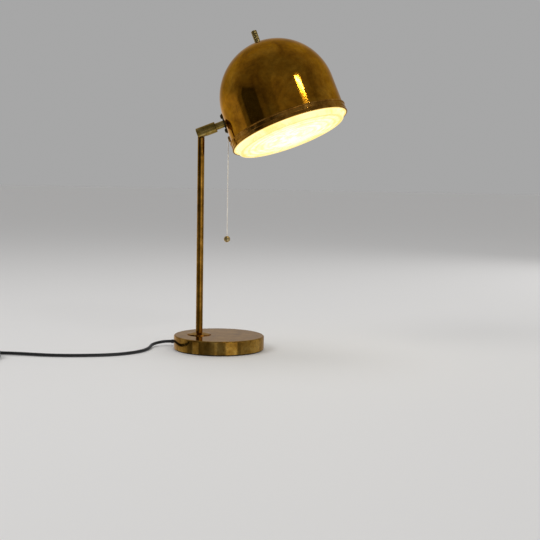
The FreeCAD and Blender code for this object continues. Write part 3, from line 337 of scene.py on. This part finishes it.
def coil_point(turn):
    angle = math.radians(90) + 2 * math.pi * turn
    climb = min(max(turn - TURNS_IN, 0), CLIMB) / CLIMB
    rise = COIL_PITCH * (3 * climb ** 2 - 2 * climb ** 3)
    around = Vector((math.cos(angle), math.sin(angle), 0)) * coil_radius(turn)
    return coil_centre + around + Vector((0, 0, COIL_LIFT + CORD_RADIUS + rise))


def spline(name, points, radius, material):
    """A round cord along one smooth line."""
    curve = bpy.data.curves.new(name, "CURVE")
    curve.dimensions = "3D"
    curve.bevel_depth = radius
    curve.bevel_resolution = 6
    curve.resolution_u = 8
    curve.use_fill_caps = True
    line = curve.splines.new("NURBS")
    line.points.add(len(points) - 1)
    for slot, point in zip(line.points, points):
        slot.co = (*point, 1)
    line.order_u = 3
    line.use_endpoint_u = True
    curve.materials.append(material)
    thing = bpy.data.objects.new(name, curve)
    scene.collection.objects.link(thing)
    return thing


def mains_cord():
    """The cord leaves the base, lies on the floor and ends in a tied coil with its plug."""
    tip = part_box("cord_strain_relief")[0].x
    exit_point = Vector((tip, 0.019, 0.008))
    floor = CORD_RADIUS
    route = [exit_point, (-0.098, 0.019, 0.008), (-0.112, 0.0115, 0.0062),
             (-0.120, -0.0035, 0.0046), (-0.1195, -0.023, 0.0031),
             (-0.122, -0.049, floor), (-0.136, -0.079, floor),
             (-0.166, -0.106, floor), (-0.212, -0.122, floor), (-0.266, -0.1295, floor),
             (-0.325, coil_point(0).y, COIL_LIFT + CORD_RADIUS)]
    total = TURNS_IN + CLIMB + TURNS_OUT
    per_turn = 16
    steps = round(total * per_turn)
    route += [coil_point(total * step / steps) for step in range(steps + 1)]
    last = coil_point(total)
    low = PLUG_THICK / 2
    route += [(last.x, last.y - 0.014, last.z), (last.x, last.y - 0.030, low),
              (last.x, last.y - 0.042, low), (last.x, last.y - 0.048, low)]
    cord = spline("mains_cord", [Vector(point) for point in route], CORD_RADIUS, cord_black)
    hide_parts("power_cord", "power_cord_coil")
    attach(cord, "base")


def tube(name, points, radius, material, steps=12):
    """A round tube along one smooth line, as a mesh, and the points that it follows."""
    curve = spline(name + "_line", points, radius, material)
    curve.data.resolution_u = steps
    data = bpy.data.meshes.new_from_object(curve)
    data.name = name
    data.shade_smooth()
    curve.data.bevel_depth = 0
    line = bpy.data.meshes.new_from_object(curve)
    path = [vertex.co.copy() for vertex in line.vertices]
    bpy.data.meshes.remove(line)
    bpy.data.objects.remove(curve)
    thing = bpy.data.objects.new(name, data)
    scene.collection.objects.link(thing)
    return thing, path


PULL_RADIUS = 0.0009


def pull_string():
    """The pull cord rolls over the ferrule's lip and hangs plumb to its ball."""
    reach = (mouth - lip_centre).length
    top = lip_centre - Vector((reach, 0, 0))
    corner = Vector((top.x, top.y, mouth.z - (mouth.x - top.x) * arm_axis.z / arm_axis.x))
    ball_low, ball_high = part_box("pull_ball")
    bottom = Vector((top.x, top.y, (ball_low.z + ball_high.z) / 2))
    straight = Vector((0, 0, 12 * PULL_RADIUS))

    bend, _ = tube("pull_string_bend", [mouth, corner, top], PULL_RADIUS, string)
    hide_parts("pull_cord_bend")
    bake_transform(bend)

    thing, path = tube("pull_string", [top, top - straight, bottom + straight, bottom],
                       PULL_RADIUS, string)
    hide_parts("pull_cord")
    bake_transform(thing)


def bent_lead():
    """A copy of the lead through the knuckle, in place of the CAD piece."""
    thing = bpy.data.objects.new("bent_lead", nodes["knuckle_lead"].data.copy())
    scene.collection.objects.link(thing)
    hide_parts("knuckle_lead")
    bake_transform(thing)


def coil_spring():
    """The switch's spring is wound wire."""
    sleeve = [vertex.co - mouth for vertex in nodes["switch_spring"].data.vertices]
    along = [point.dot(arm_axis) for point in sleeve]
    apart = [(point - arm_axis * step).length for point, step in zip(sleeve, along)]
    wire = (max(apart) - min(apart)) / 2
    middle = (max(apart) + min(apart)) / 2
    low, high = min(along) + wire, max(along) - wire
    turns, per_turn = 6, 12
    steps = turns * per_turn
    widen = 2 / (1 + math.cos(math.pi / per_turn))    # the smooth line runs inside its points
    points = []
    for step in range(steps + 1):
        angle = 2 * math.pi * step / per_turn
        around = (across * math.cos(angle) + arm_up * math.sin(angle)) * middle * widen
        points.append(mouth + arm_axis * (low + (high - low) * step / steps) + around)
    thing, _ = tube("coil_spring", points, wire, steel, 2)
    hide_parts("switch_spring")
    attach(thing, "shade")
    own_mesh(thing)


mains_cord()
pull_string()
bent_lead()
coil_spring()

# ---- floor, light and camera ---------------------------------------------------------------

FLOOR_HALF = 30.0


def stage_floor():
    data = bpy.data.meshes.new("floor")
    corners = [(x * FLOOR_HALF, y * FLOOR_HALF, 0) for x, y in ((-1, -1), (1, -1), (1, 1), (-1, 1))]
    data.from_pydata(corners, [], [(0, 1, 2, 3)])
    made = Shader("floor")
    made.set(Base_Color=(0.78, 0.77, 0.76), Roughness=0.6)
    data.materials.append(made.material)
    thing = bpy.data.objects.new("floor", data)
    thing.visible_glossy = False    # reflections show the world's tone beneath instead
    scene.collection.objects.link(thing)


BACKDROP_LEVEL = 0.385  # what the camera sees behind the lamp
FILL_LEVEL = 0.5        # what lights the lamp
FRONT_TONE = 0.15       # what reflections show in front, and what is added behind, above and below
BEHIND_TONE = 0.22
ABOVE_TONE = 0.04
BENEATH_TONE = 0.22

# upright panels and shadows that only reflections show, placed so that the bands on the brass
# fall as in the photograph: bearings from the camera's side in degrees, strength (darker
# where it is below zero), and the heights between which they fade
PANELS = (
    (22, 52, 1.3, 0.12, 0.26),
    (62, 130, 0.3, 0.12, 0.26),
    (-14, 70, 0.1, 0.5, 0.75),
    (-6, 0, 0.4, 0.12, 0.26),
    (-66, -48, 0.6, -0.08, 0.0),
    (-170, -84, 0.45, -0.12, 0.2),
    (-74, -44, -0.11, 0.2, 0.3),
    (-34, -20, -0.1, 0.2, 0.3),
)
PANEL_EDGE = math.radians(4)


def world_light():
    """Even grey behind the lamp and on it; reflections show the tones and panels instead."""
    world = bpy.data.worlds.new("studio")
    scene.world = world
    world.use_nodes = True
    tree = world.node_tree

    def maths(operation, one, other):
        node = tree.nodes.new("ShaderNodeMath")
        node.operation = operation
        for number, source in enumerate((one, other)):
            if isinstance(source, (int, float)):
                node.inputs[number].default_value = source
            else:
                tree.links.new(source, node.inputs[number])
        return node.outputs[0]

    def between(value, low, high):
        node = tree.nodes.new("ShaderNodeMapRange")
        node.interpolation_type = "SMOOTHSTEP"
        node.inputs["From Min"].default_value = low
        node.inputs["From Max"].default_value = high
        tree.links.new(value, node.inputs["Value"])
        return node.outputs["Result"]

    apart = tree.nodes.new("ShaderNodeSeparateXYZ")
    tree.links.new(tree.nodes.new("ShaderNodeTexCoord").outputs["Generated"], apart.inputs[0])
    x, y, z = apart.outputs
    tone = maths("ADD", maths("MULTIPLY", between(y, -0.35, 0.55), BEHIND_TONE), FRONT_TONE)
    tone = maths("ADD", tone, maths("MULTIPLY", between(z, 0.27, 0.37), ABOVE_TONE))
    beneath = maths("SUBTRACT", 1, between(z, -0.7, -0.4))
    tone = maths("ADD", tone, maths("MULTIPLY", beneath, BENEATH_TONE))
    bearing = maths("ARCTAN2", x, maths("MULTIPLY", y, -1))
    fading = maths("ADD", maths("MULTIPLY", between(z, -0.16, -0.06), 0.6), 0.4)
    for start, end, strength, fade, top in PANELS:
        start, end = math.radians(start), math.radians(end)
        panel = maths("SUBTRACT", between(bearing, start, start + PANEL_EDGE),
                      between(bearing, end, end + PANEL_EDGE))
        low = maths("MULTIPLY", fading, maths("SUBTRACT", 1, between(z, fade, top)))
        tone = maths("ADD", tone, maths("MULTIPLY", maths("MULTIPLY", panel, low), strength))
    path = tree.nodes.new("ShaderNodeLightPath")
    seen, mirrored = path.outputs["Is Camera Ray"], path.outputs["Is Glossy Ray"]
    level = maths("ADD", maths("MULTIPLY", seen, BACKDROP_LEVEL), maths("MULTIPLY", mirrored, tone))
    other = maths("SUBTRACT", 1, maths("MAXIMUM", seen, mirrored))
    level = maths("ADD", level, maths("MULTIPLY", other, FILL_LEVEL))
    tree.links.new(level, tree.nodes["Background"].inputs["Color"])


def lamp(name, place, aim, wide, high, power, mirrored=True):
    """An area light in metres and watts; mirrored says whether reflections show it."""
    data = bpy.data.lights.new(name, "AREA")
    data.shape = "RECTANGLE"
    data.size = wide
    data.size_y = high
    data.energy = power
    thing = bpy.data.objects.new(name, data)
    thing.visible_glossy = mirrored
    thing.visible_camera = False
    thing.location = place
    thing.rotation_euler = (Vector(aim) - Vector(place)).to_track_quat("-Z", "Y").to_euler()
    scene.collection.objects.link(thing)


LAMP_AIM = (0.05, 0, 0.3)


def studio():
    """Three soft lights, and a small one whose streak shows on the shade."""
    lamp("strip", (1.25, -1.17, 1.71), (0.13, -0.09, 0.42), 0.3, 0.02, 2.6)
    lamp("key", (-1.6, -1.2, 2.0), LAMP_AIM, 1.2, 0.9, 16, mirrored=False)
    lamp("top", (0.1, 0.3, 2.6), LAMP_AIM, 1.6, 1.2, 14, mirrored=False)
    lamp("back", (1.6, 1.6, 1.0), LAMP_AIM, 1.2, 1.2, 8, mirrored=False)


FOCAL_PIXELS = 1013.08
IMAGE_PIXELS = 540
SENSOR = 36
PRINCIPAL = (268.55, 286.9)
CAMERA_PLACE = (0.20075, -1.77144, 0.30017)
CAMERA_RIGHT = (0.99766, 0.06608, 0.01745)
CAMERA_UP = (-0.02426, 0.10362, 0.99432)
CAMERA_AHEAD = (-0.06390, 0.99242, -0.10498)


def photo_camera():
    """The camera that was fitted to the photograph's outlines."""
    data = bpy.data.cameras.new("camera")
    data.sensor_width = SENSOR
    data.sensor_fit = "HORIZONTAL"
    data.lens = SENSOR * FOCAL_PIXELS / IMAGE_PIXELS
    data.shift_x = (IMAGE_PIXELS / 2 - PRINCIPAL[0]) / IMAGE_PIXELS
    data.shift_y = (PRINCIPAL[1] - IMAGE_PIXELS / 2) / IMAGE_PIXELS
    data.clip_start = 0.05
    data.clip_end = 50
    camera = bpy.data.objects.new("camera", data)
    turn = Matrix((CAMERA_RIGHT, CAMERA_UP, -Vector(CAMERA_AHEAD))).transposed()
    camera.matrix_world = Matrix.Translation(CAMERA_PLACE) @ turn.to_4x4()
    scene.collection.objects.link(camera)
    scene.camera = camera


stage_floor()
world_light()
studio()
photo_camera()
